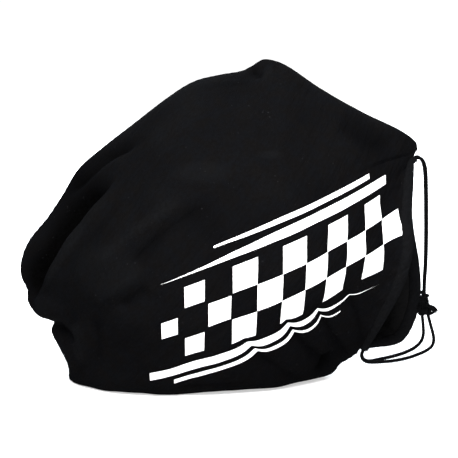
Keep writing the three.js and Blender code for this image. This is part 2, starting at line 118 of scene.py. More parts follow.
# Folds as seen from the front: both ends in shares of the width and the height, then in millimetres the
# sideways bow, the breadth on the left and on the right of the way along, and the rise; a rise below
# nought is a valley. The last column is how blunt the crest is: 2 is a soft roll, 1 a crease.
FRONT_FOLDS = (
    (-0.468, 0.262, -0.275, 0.636, 7.5, 18, 6, -19, 2.6),
    (-0.452, 0.262, -0.255, 0.64, 2.8, 3.5, 12, 5.5, 1.3),
    (-0.435, 0.278, -0.235, 0.625, 2.2, 2.5, 4, -1.8, 1.6),
    (-0.46, 0.42, -0.385, 0.555, 2, 6, 8, 3, 2),
    (-0.381, 0.584, -0.204, 0.749, 5.1, 6, 4, -7, 1.7),
    (-0.381, 0.566, -0.208, 0.735, 3.6, 3.5, 10, 4, 1.6),
    (-0.375, 0.606, -0.258, 0.724, 5.3, 3, 3, -2.5, 1.7),
    (-0.38, 0.365, -0.238, 0.594, 1.5, 6, 8, -3.2, 1.7),
    (-0.214, 0.424, -0.046, 0.6, 3.7, 7, 10, -4.4, 1.5),
    (-0.288, 0.422, -0.101, 0.609, 2.9, 7, 8, 3.6, 1.5),
    (-0.235, 0.298, -0.174, 0.358, -0.6, 8, 8, -4, 1.8),
    (-0.304, 0.301, -0.189, 0.414, -3.3, 9, 7, 3.2, 1.8),
    (-0.303, 0.251, -0.3, 0.095, 2.9, 7, 6, -3.4, 1.7),
    (-0.337, 0.226, -0.331, 0.093, -3.6, 7, 5, 3.6, 1.6),
    (-0.455, 0.248, -0.367, 0.262, 2.5, 5, 8, 3, 1.7),
    (-0.402, 0.197, -0.349, 0.161, -0.1, 5, 5, -4, 1.7),
    (-0.123, 0.026, 0.042, 0.037, 1.3, 5, 3, -3, 1.6),
    (0.271, 0.109, 0.231, 0.033, 0.5, 6, 5, -6, 1.7),
    (0.065, 0.961, 0.099, 0.945, 0.9, 4, 5, -5, 1.7),
    (0.082, 0.929, 0.119, 0.974, -2.5, 4, 5, 2.5, 1.7),
    (0.118, 0.954, 0.201, 0.906, -0.9, 2.5, 2.5, -1.4, 1.7),
    (0.12, 0.934, 0.207, 0.893, -1.3, 2.5, 3, -1.4, 1.7),
    (0.116, 0.971, 0.182, 0.93, 0.8, 2.2, 2.2, -1, 1.7),
    (-0.08, 0.918, 0.057, 0.948, 2.1, 2.5, 2.5, -1.1, 1.7),
    (-0.048, 0.907, 0.067, 0.929, 1.5, 2.5, 2.5, -1.1, 1.7),
    (0.278, 0.822, 0.405, 0.745, -3.7, 13, 11, -5, 2),
    (0.431, 0.542, 0.433, 0.452, -0.1, 3, 3, 2, 1.7),
    (0.355, 0.138, 0.411, 0.324, 0.2, 6, 7, 2.2, 2),
    (0.037, 0.86, 0.075, 0.79, 1.6, 7, 8, 1.4, 2),
    (-0.171, 0.741, -0.02, 0.849, 2.8, 12, 14, 2, 2),
    (0.435, 0.635, 0.394, 0.564, 4, 3, 4, -1.5, 1.7),
)
# Pleats that the drawn-up mouth sends through the print
PLEATS = (
    (0.053, 0.196, 0.187, 0.031, -2.2, 5, 9, -4, 1.5),
    (0.146, 0.26, 0.272, 0.055, -3.3, 5, 9, -5, 1.5),
    (0.225, 0.289, 0.313, 0.079, -1.6, 4, 8, -5, 1.5),
    (0.303, 0.315, 0.345, 0.108, 3.3, 4, 7, -4, 1.5),
)
BACK_FOLDS = (
    (-0.46, 0.33, -0.27, 0.6, -8, 15, 9, -11, 2),
    (-0.45, 0.27, -0.25, 0.55, -8, 4, 12, 4, 1.6),
    (-0.37, 0.14, -0.22, 0.33, 6, 13, 8, -7, 2),
    (-0.1, 0.86, 0.06, 0.62, 6, 12, 8, -6, 2),
    (-0.16, 0.8, 0.0, 0.56, 6, 8, 12, 3, 1.7),
    (0.12, 0.92, 0.22, 0.6, -5, 7, 12, -7, 2),
    (-0.3, 0.62, -0.08, 0.74, 5, 6, 10, -4, 1.7),
    (-0.05, 0.3, 0.15, 0.1, 4, 10, 7, -5, 1.8),
    (0.1, 0.42, 0.3, 0.12, -4, 6, 10, -6, 1.7),
    (0.18, 0.48, 0.36, 0.18, -5, 5, 9, -6, 1.7),
    (0.28, 0.54, 0.43, 0.28, 4, 6, 10, -6, 1.8),
    (0.27, 0.76, 0.42, 0.64, 5, 14, 13, -9, 2),
    (0.3, 0.64, 0.44, 0.56, 4, 5, 8, -4, 1.7),
    (0.38, 0.19, 0.455, 0.205, 0.6, 2, 3, -1.2, 1.6),
    (0.385, 0.24, 0.465, 0.262, -0.6, 2.5, 2, 1.1, 1.6),
    (0.395, 0.292, 0.465, 0.3, 0.5, 2, 3, -1.1, 1.6),
    (0.36, 0.15, 0.43, 0.142, -0.8, 3, 4, -2, 1.7),
)
# Share of a pleat's rise by which it moves the print, and where a fold's level stretch ends and how
# fast it fades there, as shares of its length
PLEAT_TAKE = 0.9
FOLD_LEVEL = 0.3
FOLD_FADE = 0.2

# Lesser unevenness of slack cloth: shortest and longest wave, how many, height against length, the
# way most of them run and how far they stray from it, and how far longer waves shift them
WAVE_SPAN = (0.02, 0.12)
WAVES = 22
WAVE_STEEP = 0.0034
WAVE_WAY = math.radians(142)
WAVE_SPREAD = math.radians(38)
WAVE_SHIFT = 0.009
# Puckers: wavelength, rise and reach at the drawn-up mouth and at the side seam, in metres
MOUTH_PUCKER = (0.019, 0.0006, 0.02)
SEAM_PUCKER = (0.0075, 0.0004, 0.006)
# The stretch at the rim's ends that they leave calm, and how far in from the rim they are half up
PUCKER_CALM = 0.01
PUCKER_INSET = 0.002

# Free cords, exit first, in metres
UPPER_FRONT = np.array([
    (0.1918, -0.0041, 0.2246), (0.1945, -0.0041, 0.2249), (0.1972, -0.0041, 0.2238),
    (0.1995, -0.004, 0.2212), (0.2012, -0.0038, 0.2165), (0.2022, -0.0037, 0.21),
    (0.2029, -0.0034, 0.197), (0.2036, -0.003, 0.17), (0.204, -0.0026, 0.14),
    (0.2036, -0.0023, 0.115), (0.2028, -0.002, 0.1), (0.2026, -0.0019, 0.083),
])
UPPER_BACK = np.array([
    (0.1918, 0.0041, 0.2246), (0.1943, 0.0041, 0.2248), (0.1968, 0.0041, 0.2236),
    (0.1989, 0.004, 0.221), (0.2006, 0.0039, 0.2163), (0.2016, 0.0038, 0.2098),
    (0.2024, 0.0036, 0.1968), (0.2031, 0.0032, 0.17), (0.2035, 0.0028, 0.14),
    (0.2033, 0.0024, 0.115), (0.2026, 0.0021, 0.1), (0.2025, 0.0019, 0.083),
])
LOWER_FRONT = np.array([
    (0.1414, -0.0041, 0.0296), (0.1406, -0.0042, 0.0272), (0.1401, -0.0044, 0.024),
    (0.1416, -0.0046, 0.0204), (0.1452, -0.0048, 0.018), (0.15, -0.0048, 0.0174),
    (0.158, -0.0046, 0.0176), (0.1724, -0.0042, 0.0188), (0.1864, -0.0038, 0.0216),
    (0.1974, -0.0034, 0.0254), (0.206, -0.003, 0.0294), (0.2112, -0.0026, 0.034),
    (0.2128, -0.0022, 0.04), (0.2118, -0.0018, 0.047), (0.2098, -0.001, 0.054),
    (0.2082, -0.0004, 0.06), (0.2068, 0.0004, 0.0655), (0.205, 0.001, 0.071),
])
LOWER_BACK = np.array([
    (0.143, 0.0041, 0.0286), (0.1416, 0.0042, 0.0263), (0.1409, 0.0044, 0.023),
    (0.1421, 0.0046, 0.0195), (0.1452, 0.0048, 0.017), (0.1498, 0.0048, 0.0166),
    (0.158, 0.0046, 0.0182), (0.1714, 0.0042, 0.0213), (0.185, 0.0036, 0.0258),
    (0.195, 0.003, 0.0314), (0.2006, 0.0024, 0.0376), (0.2026, 0.0018, 0.0446),
    (0.2024, 0.0012, 0.052), (0.2016, 0.0004, 0.0596), (0.201, -0.0002, 0.065),
    (0.2012, -0.001, 0.0705),
])
TAILS = (
    np.array([(0.2045, -0.001, 0.0735), (0.208, -0.0024, 0.0745), (0.212, -0.0036, 0.0732),
              (0.2152, -0.0036, 0.0698)]),
    np.array([(0.2055, 0.001, 0.0705), (0.2088, 0.0026, 0.0708), (0.212, 0.0034, 0.0694),
              (0.2142, 0.0034, 0.0668)]),
)
# The bight left standing out at the knot's side, and the cord wound round its neck: turns, the angle it
# starts at in radians, radius and height of its top and its foot, its depth as a share of its breadth,
# the share of the radius that its ends keep, and how far it leans
BIGHT = np.array([
    (0.2035, -0.002, 0.0755), (0.2078, -0.0046, 0.0748), (0.2118, -0.0034, 0.0712),
    (0.2118, -0.0002, 0.0676), (0.2078, 0.001, 0.066), (0.2035, 0.0005, 0.069),
])
NECK_TURNS = 1.7
NECK_START = 2.2
NECK_FROM = (0.0034, 0.0885)
NECK_TO = (0.0044, 0.0805)
NECK_DEEP = 0.8
NECK_ENDS = 0.3
NECK_LEAN = 0.0006

# Braid: length of a strand's turn in diameters, strands each way, and the middle and lift of its
# surface and the rounding of its cut ends as shares of the diameter
BRAID_PITCH = 1.6
BRAID_STRANDS = 3
BRAID_MIDDLE = 0.98
BRAID_LIFT = 0.1
END_ROUNDING = 0.15
END_BLUNT = 0.4

# Knot, about its middle, in metres, and the tilt of its pair of cords in radians
KNOT = np.array([0.2028, 0, 0.0735])
KNOT_BROAD = 0.0018
KNOT_TALL = 0.003
KNOT_DEEP = 0.0026
KNOT_PAIR = 0.00135
KNOT_CORD = 0.0031
KNOT_TILT = 0.6

# Loose fibres at each cut end, in metres. As shares: how far their roots fill the cord, the shortest
# of them, how much of each is sunk in the cord, and how it fans out and thins. They stray in radians.
FIBRES = 15
FIBRE_LONG = 0.0036
FIBRE_THICK = 0.0003
FIBRE_DROOP = 0.0009
FIBRE_ROOTS = 0.42
FIBRE_SHORTEST = 0.45
FIBRE_SUNK = 0.25
FIBRE_FAN = 0.9
FIBRE_TAPER = 0.75
FIBRE_STRAY = 0.3

# Gathers of the casings: their wavelength, their height, and the stretch that stays calm at each end
HEM_PUCKER = 0.0085
HEM_SWELL = 0.00012
HEM_CALM = 0.02

# Places on the flat cut: the inner face lies so far to the left of the outer one, what is left of
# INNER_SIDE belongs to it, and what is right of THREAD_SIDE belongs to the stitches' thread
INNER_SHIFT = (1, 0)
INNER_SIDE = -0.5
THREAD_SIDE = 1

# Stitches of the casings, in metres
STITCH_PITCH = 0.003
STITCH_LENGTH = 0.0022
STITCH_THICK = 0.0009
STITCH_ANGLE = math.radians(42)

# Camera: the photograph shows one millimetre as one pixel at the sack's middle
PICTURE = 458
CAMERA_FAR = 2.0
CAMERA_RISE = math.radians(9)
CAMERA_AIM = np.array([0.0065, 0, 0.1526])
SENSOR = 36
LENS = SENSOR * CAMERA_FAR / (PICTURE / 1000)


# Lines and frames
def unit(vectors):
    """Each vector divided by its own length."""
    return vectors / np.maximum(np.linalg.norm(vectors, axis=-1, keepdims=True), 1e-12)


def between(a, b, share):
    """The value that lies the given share of the way from a to b."""
    return a + (b - a) * share


def smooth_line(points, at):
    """Smooth curve through the points: a cubic between two of them, whose slopes weigh each span by
    the square root of its length. at runs from 0 to 1, evenly by point."""
    ends = np.vstack([2 * points[:1] - points[1:2], points, 2 * points[-1:] - points[-2:-1]])
    place = np.asarray(at, float) * (len(points) - 1)
    span = np.minimum(place.astype(int), len(points) - 2)
    share = (place - span)[:, None]
    p0, p1, p2, p3 = (ends[span + k] for k in range(4))
    d0, d1, d2 = (
        np.sqrt(np.linalg.norm(b - a, axis=1))[:, None] for a, b in ((p0, p1), (p1, p2), (p2, p3))
    )
    leave = ((p1 - p0) / d0 - (p2 - p0) / (d0 + d1) + (p2 - p1) / d1) * d1
    arrive = ((p2 - p1) / d1 - (p3 - p1) / (d1 + d2) + (p3 - p2) / d2) * d1
    square = 3 * (p2 - p1) - 2 * leave - arrive
    cube = 2 * (p1 - p2) + leave + arrive
    return p1 + leave * share + square * share**2 + cube * share**3


def travelled(points):
    """Distance along a row of points to each of them."""
    return np.concatenate([[0], np.cumsum(np.linalg.norm(np.diff(points, axis=0), axis=1))])


def even_line(points, step):
    """The smooth curve through the points, at even distances close to step."""
    fine = smooth_line(points, np.linspace(0, 1, 60 * len(points)))
    far = travelled(fine)
    stops = np.linspace(0, far[-1], max(2, round(far[-1] / step)) + 1)
    return np.stack([np.interp(stops, far, fine[:, k]) for k in range(3)], axis=1)


def casing_frames(table, side, steps):
    """Along a casing: its middle, the way along, the way towards the cloth, and half its breadth."""
    points = table[:, :3] * (WIDTH, side * DEPTH, HEIGHT)
    at = np.linspace(0, 1, steps + 1)
    middle = smooth_line(points, at)
    along = unit(
        smooth_line(points, np.minimum(at + 1e-4, 1)) - smooth_line(points, np.maximum(at - 1e-4, 0))
    )
    lean = HEM_LEAN * np.sin(math.pi * at)[:, None]
    inward = -unit(np.cross((0, 1, 0), along))
    inward = inward * np.cos(lean) + np.array((0, side, 0)) * np.sin(lean)
    inward = unit(inward - along * np.sum(inward * along, axis=1, keepdims=True))
    half = CORD * np.interp(at * (len(table) - 1), np.arange(len(table)), table[:, 3])
    return {"at": at, "middle": middle, "along": along, "inward": inward, "half": half}


def rim_of(table, side):
    """Closed rim of one panel: the side seam, then the edge tucked against its casing. Gives points,
    pinch, how much of each point is mouth edge, and the way from the inner to the outer face there."""
    points = np.column_stack([SEAM[:, 0] * WIDTH, np.zeros(len(SEAM)), SEAM[:, 1] * HEIGHT])
    at = [
        (row + np.arange(steps * FINER) / (steps * FINER)) / (len(SEAM) - 1)
        for row, steps in enumerate(SEAM[:-1, 3].astype(int))
    ]
    at = np.append(np.concatenate(at), 1)
    seam = smooth_line(points, at)
    seam[:, 1] = side * GAP / 2
    seam_pinch = np.interp(at * (len(SEAM) - 1), np.arange(len(SEAM)), SEAM[:, 2])
    casing = casing_frames(table, side, MOUTH_STEPS * FINER)
    corner = np.abs(2 * casing["at"] - 1) ** 3
    face = np.cross(casing["inward"], casing["along"]) * side * CLOTH
    tuck = casing["half"] + between(TUCK_MIDDLE, TUCK_CORNER, corner)
    mouth = casing["middle"] + casing["inward"] * tuck[:, None] - face / 2
    mouth_pinch = between(MOUTH_PINCH, CORNER_PINCH, corner)
    link = (np.arange(1, FINER) / FINER)[:, None]
    parts = (seam, between(seam[-1], mouth[0], link), mouth, between(mouth[-1], seam[0], link))
    pinches = (
        seam_pinch,
        between(seam_pinch[-1], mouth_pinch[0], link[:, 0]),
        mouth_pinch,
        between(mouth_pinch[-1], seam_pinch[0], link[:, 0]),
    )
    edge = (np.zeros(len(seam)), link[:, 0], np.ones(len(mouth)), 1 - link[:, 0])
    out = (
        np.zeros_like(seam),
        np.repeat(face[:1], FINER - 1, axis=0),
        face,
        np.repeat(face[-1:], FINER - 1, axis=0),
    )
    return [np.concatenate(group) for group in (parts, pinches, edge, out)]


def calmed(values):
    """Values round the closed rim after repeated averaging with their neighbours, done in one step by
    damping each of their waves."""
    waves = np.fft.fftfreq(len(values), 1 / len(values))
    keep = np.cos(np.pi * np.minimum(np.abs(waves) / RIM_STEPS, 0.5)) ** (2 * RIM_CALMING)
    shape = (-1,) + (1,) * (values.ndim - 1)
    return np.fft.ifft(np.fft.fft(values, axis=0) * keep.reshape(shape), axis=0).real


# Cloth
def settled(z):
    """Height kept off the floor: flat below it and rounded into the side above it."""
    lift = z - CLOTH
    rounded = CLOTH + (lift + SOLE_ROUNDING) ** 2 / (4 * SOLE_ROUNDING)
    return np.where(lift >= SOLE_ROUNDING, z, np.where(lift <= -SOLE_ROUNDING, CLOTH, rounded))


def fold_rise(folds, x, z):
    """How far the folds lift the cloth at places seen from the front: across a fold the lift falls off
    as a bell, of its own breadth on each side, along it it is level and fades at both ends."""
    rise = np.zeros_like(x)
    for x0, z0, x1, z1, bow, left, right, lift, blunt in folds:
        way = np.array([(x1 - x0) * WIDTH, (z1 - z0) * HEIGHT])
        length = np.hypot(*way)
        dx = x - x0 * WIDTH
        dz = z - z0 * HEIGHT
        along = (dx * way[0] + dz * way[1]) / length**2
        beside = 1000 * (dz * way[0] - dx * way[1]) / length - bow * (1 - (2 * along - 1) ** 2)
        off = np.abs(beside) / np.where(beside > 0, left, right)
        fade = np.exp(-((np.maximum(0, np.abs(along - 0.5) - FOLD_LEVEL) / FOLD_FADE) ** 2))
        rise += lift / 1000 * fade * np.exp(-(off**blunt))
    return rise


def slack_rise(x, z, seed):
    """Soft unevenness: waves in random directions about one main way, each as high as its length allows,
    over places that are themselves shifted a little by longer waves."""
    pick = np.random.default_rng(seed)
    shifted_x = x + WAVE_SHIFT * np.sin(38 * z + 11 * x)
    shifted_z = z + WAVE_SHIFT * np.sin(33 * x - 13 * z + 1)
    rise = np.zeros_like(x)
    for length in np.geomspace(*WAVE_SPAN, WAVES):
        angle = WAVE_WAY + WAVE_SPREAD * pick.standard_normal()
        phase = pick.uniform(0, 2 * np.pi)
        place = shifted_x * math.cos(angle) + shifted_z * math.sin(angle)
        rise += WAVE_STEEP * length * np.sin(2 * np.pi * place / length + phase)
    return rise


def pucker_rise(rim, edge, inset):
    """Lift near the rim: waves along it, long where the cord gathers the mouth and short at the seam,
    that die away with the distance from it."""
    far = travelled(rim)
    wander = 1.3 * np.sin(far * 47) + 0.9 * np.sin(far * 101 + 2)
    ends = np.clip(np.minimum(far, far[-1] - far) / PUCKER_CALM, 0, 1)

    def waves(length, rise, reach):
        return rise * np.sin(2 * np.pi * far / length + wander) * np.exp(-inset / reach)

    lift = between(waves(*SEAM_PUCKER), waves(*MOUTH_PUCKER), edge)
    return lift * ends * inset / (inset + PUCKER_INSET)


def grid_normals(rings, crown, side):
    """Unit normals of rings of points round a crown, pointing out of the sack."""
    inner = np.concatenate([np.broadcast_to(crown, rings[:1].shape), rings[:-1]])
    outer = np.concatenate([rings[1:], rings[-1:]])
    round_about = np.roll(rings, -1, axis=1) - np.roll(rings, 1, axis=1)
    normals = unit(np.cross(round_about, outer - inner))
    return normals if np.sum(normals[: RINGS // 2, :, 1]) * side > 0 else -normals


def panel_shape(table, side, folds, pleats=()):
    """One cloth half. Ring by ring from the crown to the rim it spreads by a power of a sine and bulges
    by a power of a cosine; rings nearer the crown follow the calmed rim. Then it is pressed on the
    floor and lifted by its folds. Gives the inner face, the outer face, their crowns and the flat cut."""
    rim, pinch, edge, face = rim_of(table, side)
    calm = calmed(rim)
    calm_pinch = calmed(pinch)
    turn = (np.pi / 2) * np.arange(1, RINGS + 1) / RINGS
    share = np.sin(turn) ** (2 / FULLNESS)
    reach = share[:, None] ** RIM_REACH
    spread = share[:, None]
    edge_x = between(calm[:, 0], rim[:, 0], reach)
    edge_y = between(calm[:, 1], rim[:, 1], reach)
    edge_z = between(calm[:, 2], rim[:, 2], reach)
    edge_pinch = between(calm_pinch, pinch, reach)
    power = between(CROWN_PINCH, edge_pinch, spread**PINCH_REACH)
    cosine = np.maximum(np.cos(turn), 0)[:, None]
    cosine[-1] = 0
    x = CROWN[0] + spread * (edge_x - CROWN[0])
    z = CROWN[1] + spread * (edge_z - CROWN[1])
    y = side * BULGE * cosine ** (2 * power) + edge_y * spread**MOUTH_REACH
    rings = np.stack([x, y, settled(z)], axis=-1)
    crown = np.array([CROWN[0], side * (GAP / 2 + BULGE), CROWN[1]])

    steps = np.diff(np.concatenate([np.broadcast_to(crown, rings[:1].shape), rings]), axis=0)
    far = np.cumsum(np.linalg.norm(steps, axis=-1), axis=0)
    heading = np.arctan2(z - CROWN[1], x - CROWN[0])
    flat = np.stack([CROWN[0] + far * np.cos(heading), CROWN[1] + far * np.sin(heading)], axis=-1)
    flat[..., 1] += PLEAT_TAKE * fold_rise(pleats, x, z)

    def lifts(at_x, at_z):
        return fold_rise(folds + pleats, at_x, at_z) + slack_rise(at_x, at_z, side + 5)

    fade = (1 - (turn / (np.pi / 2)) ** 6)[:, None]
    relief = lifts(rings[..., 0], rings[..., 2])
    lift = fade * relief + pucker_rise(rim, edge, far[-1] - far)
    rings = rings + grid_normals(rings, crown, side) * lift[..., None]
    rings[..., 2] = np.maximum(rings[..., 2], CLOTH)
    crown = crown + (0, side * float(lifts(*CROWN[:, None])[0]), 0)

    thick = grid_normals(rings, crown, side)
    near = np.clip(1 - (RINGS - 1 - np.arange(RINGS)) / EDGE_RINGS, 0, 1)
    near = (near**2 * (3 - 2 * near))[:, None, None]
    thick = unit(between(thick, face / CLOTH, near * edge[:, None]))
    outer = rings + thick * CLOTH
    outer[-1] = between(outer[-1], rim + face, edge[:, None])
    outer[..., 1] = side * np.maximum(side * outer[..., 1], GAP / 4)
    outer[..., 2] = np.maximum(outer[..., 2], 0)
    top = crown + (0, side * CLOTH, 0)
    return {"inner": rings, "outer": outer, "crown": crown, "top": top, "flat": flat, "relief": relief}


# Meshes
def faces_between(rows, across):
    """Quads of a grid whose rows close on themselves."""
    row = np.arange(rows - 1)[:, None] * across
    here = row + np.arange(across)
    beside = row + (np.arange(across) + 1) % across
    return np.stack([here, beside, beside + across, here + across], axis=-1).reshape(-1, 4)


def rod_faces(count, rows, sides):
    """Faces of many like rods, one after the other: quads along each and a polygon at both its ends."""
    starts = (np.arange(count) * rows * sides)[:, None]
    along = faces_between(rows, sides) + starts[..., None]
    foot = starts + np.arange(sides)
    head = foot + (rows - 1) * sides
    return along.reshape(-1, 4).tolist() + foot[:, ::-1].tolist() + head.tolist()


def make_piece(name, points, faces, finish, flat=None):
    """A smooth-shaded mesh object from points and faces, with its flat cut as the UV map."""
    mesh = bpy.data.meshes.new(name)
    mesh.from_pydata(points.tolist(), [], faces)
    if flat is not None:
        corners = np.zeros(len(mesh.loops), int)
        mesh.loops.foreach_get("vertex_index", corners)
        mesh.uv_layers.new(name="flat").data.foreach_set("uv", flat[corners].ravel())
    mesh.shade_smooth()
    mesh.materials.append(finish)
    piece = bpy.data.objects.new(name, mesh)
    bpy.context.scene.collection.objects.link(piece)
    return piece


def panel_mesh(name, shape, side, finish):
    """Closed shell of one cloth half: the outer rings, then fewer inner rings back to the crown. The
    inner face's flat cut lies a metre aside, clear of the print. The lift of the folds is kept with
    each point in millimetres, and is nought on the inner face."""
    picked = np.linspace(0, 1, INNER_RINGS) ** INNER_CROWD * (RINGS - 1)
    picked = np.unique(np.append(picked.round().astype(int), CROWN_RINGS))[::-1]
    rings = np.concatenate([shape["outer"], shape["inner"][picked]])
    across = rings.shape[1]
    flat = np.concatenate([shape["flat"], shape["flat"][picked] - INNER_SHIFT])
    points = np.concatenate([rings.reshape(-1, 3), shape["top"][None], shape["crown"][None]])
    flat = np.concatenate([flat.reshape(-1, 2), CROWN[None], CROWN[None] - INNER_SHIFT])
    faces = faces_between(len(rings), across)
    here = np.arange(across)
    beside = (here + 1) % across
    last = (len(rings) - 1) * across
    count = len(rings) * across
    first = np.stack([np.full(across, count), beside, here], axis=1)
    close = np.stack([np.full(across, count + 1), last + here, last + beside], axis=1)
    order = slice(None) if side > 0 else slice(None, None, -1)
    faces = [row[order] for row in (*faces.tolist(), *first.tolist(), *close.tolist())]
    piece = make_piece(name, points, faces, finish, flat)
    # The lift of the folds feeds the painted shade of their hollows and the painted highlight of their
    # crests
    relief = np.concatenate([shape["relief"], 0 * shape["relief"][picked]]).ravel()
    relief = np.append(relief, [shape["relief"][0].mean(), 0]) * 1000
    piece.data.attributes.new("relief", "FLOAT", "POINT").data.foreach_set("value", relief)
    return piece


def carried_frames(path):
    """Way along a path and two directions square to it, turned no more than the path turns."""
    along = unit(np.gradient(path, axis=0))
    first = np.cross(along[0], (0, 1, 0))
    beside = [first / np.linalg.norm(first)]
    for way in along[1:]:
        step = beside[-1] - way * np.dot(beside[-1], way)
        beside.append(step / np.linalg.norm(step))
    beside = np.array(beside)
    return along, beside, np.cross(along, beside)


def cord_mesh(name, path, diameter, finish, sides=24):
    """Braided cord: a circle carried along the path, lifted by two crossing spirals into small
    diamonds and rounded off at both ends. Its UV map runs round and along it in metres."""
    along, beside, across = carried_frames(path)
    far = travelled(path)
    turn = 2 * np.pi * np.arange(sides) / sides
    climb = 2 * np.pi * far[:, None] / (BRAID_PITCH * diameter)
    braid = np.sin(BRAID_STRANDS * turn + climb) * np.sin(BRAID_STRANDS * turn - climb)
    ends = np.minimum(far, far[-1] - far)[:, None] / (END_ROUNDING * diameter)
    radius = diameter / 2 * (BRAID_MIDDLE + BRAID_LIFT * braid)
    radius = radius * np.sqrt(1 - (1 - np.clip(ends, END_BLUNT, 1)) ** 2)
    rings = (
        path[:, None]
        + beside[:, None] * (radius * np.cos(turn))[..., None]
        + across[:, None] * (radius * np.sin(turn))[..., None]
    )
    flat = np.stack(np.broadcast_arrays(diameter / 2 * turn, far[:, None]), axis=-1)
    points = np.concatenate([rings.reshape(-1, 3), path[:1], path[-1:]])
    flat = np.concatenate([flat.reshape(-1, 2), [[0, 0]], [[0, far[-1]]]])
    faces = faces_between(len(path), sides).tolist()
    here = np.arange(sides)
    next_one = (here + 1) % sides
    last = (len(path) - 1) * sides
    count = len(path) * sides
    faces += np.stack([np.full(sides, count), next_one, here], axis=1).tolist()
    faces += np.stack([np.full(sides, count + 1), last + here, last + next_one], axis=1).tolist()
    return make_piece(name, points, faces, finish, flat)


def casing_mesh(name, table, side, finish, sides=32):
    """Gathered casing: an open oval sleeve with a wall, its breadth and thickness swelling and
    shrinking along it where the cord has drawn it up."""
    casing = casing_frames(table, side, MOUTH_STEPS * FINER)
    far = travelled(casing["middle"])
    turn = 2 * np.pi * (np.arange(sides) + 0.5) / sides
    calm_ends = np.clip(np.minimum(far, far[-1] - far) / HEM_CALM, 0, 1)[:, None]
    wander = 0.8 * np.sin(far * 130) + 0.6 * np.sin(far * 310 + 1)
    round_about = 0.75 + 0.25 * np.cos(turn * 2 + far[:, None] * 90)
    pucker = np.sin(2 * np.pi * far / HEM_PUCKER + wander)[:, None] * round_about
    swell = HEM_SWELL * calm_ends * pucker
    across = np.cross(casing["along"], casing["inward"])

    def sleeve(wall):
        breadth = casing["half"][:, None] - wall + swell
        thick = HEM_THICK / 2 - wall + swell
        return (
            casing["middle"][:, None]
            + casing["inward"][:, None] * (breadth * np.cos(turn))[..., None]
            + across[:, None] * (thick * np.sin(turn))[..., None]
        )

    rings = np.concatenate([sleeve(0), sleeve(HEM_WALL)[::-1], sleeve(0)[:1]])
    flat = np.stack(
        np.broadcast_arrays(0.006 * turn, np.concatenate([far, far[::-1], far[:1]])[:, None]), axis=-1
    )
    faces = faces_between(len(rings), sides)
    points = rings.reshape(-1, 3)
    count = (len(rings) - 1) * sides
    faces = np.where(faces >= count, faces - count, faces)
    return make_piece(name, points[:count], faces.tolist(), finish, flat.reshape(-1, 2)[:count])


def stitches_mesh(name, table, side, finish, rows=6, sides=8):
    """Stitches that close a casing, on both of its faces: small oval rods, each a half turn of a sine
    thick along its length."""
    casing = casing_frames(table, side, MOUTH_STEPS * FINER)
    far = travelled(casing["middle"])
    stops = np.arange(STITCH_PITCH * 2, far[-1] - STITCH_PITCH * 2, STITCH_PITCH)

    def pick(values):
        return np.stack([np.interp(stops, far, values[:, k]) for k in range(values.shape[1])], axis=1)

    middle, along, inward = (pick(casing[key]) for key in ("middle", "along", "inward"))
    half = pick(casing["half"][:, None])
    across = np.cross(along, inward)
    turn = 2 * np.pi * np.arange(sides) / sides
    share = np.linspace(0.02, 0.98, rows)
    grids = []
    for face in (1, -1):
        angle = face * STITCH_ANGLE
        place = middle + inward * half * math.cos(angle) + across * (HEM_THICK / 2) * math.sin(angle)
        up = unit(inward * math.cos(angle) * HEM_THICK / 2 / half + across * math.sin(angle))
        beside = np.cross(along, up)
        round_about = up[:, None] * 0.6 * np.cos(turn)[:, None] + beside[:, None] * np.sin(turn)[:, None]
        thick = STITCH_THICK / 2 * np.sin(np.pi * share) ** 0.5
        grids.append(
            place[:, None, None]
            + along[:, None, None] * ((share - 0.5) * STITCH_LENGTH)[:, None, None]
            + round_about[:, None] * thick[:, None, None]
        )
    points = np.concatenate(grids)
    flat = np.full((points[..., 0].size, 2), 2 * THREAD_SIDE)
    faces = rod_faces(len(points), rows, sides)
    return make_piece(name, points.reshape(-1, 3), faces, finish, flat)


# Finishes
class Level:
    """A value that varies over a surface: one socket, whose sums are written as Python."""

    def __init__(self, finish, socket):
        self.finish = finish
        self.socket = socket

    def __add__(self, other):
        return self.finish.math("ADD", self, other)

    def __sub__(self, other):
        return self.finish.math("SUBTRACT", self, other)

    def __mul__(self, other):
        return self.finish.math("MULTIPLY", self, other)

    def __truediv__(self, other):
        return self.finish.math("DIVIDE", self, other)

    def __rsub__(self, other):
        return self.finish.math("SUBTRACT", other, self)

    def __lt__(self, other):
        return self.finish.math("LESS_THAN", self, other)

    def __gt__(self, other):
        return self.finish.math("GREATER_THAN", self, other)

    __radd__ = __add__
    __rmul__ = __mul__


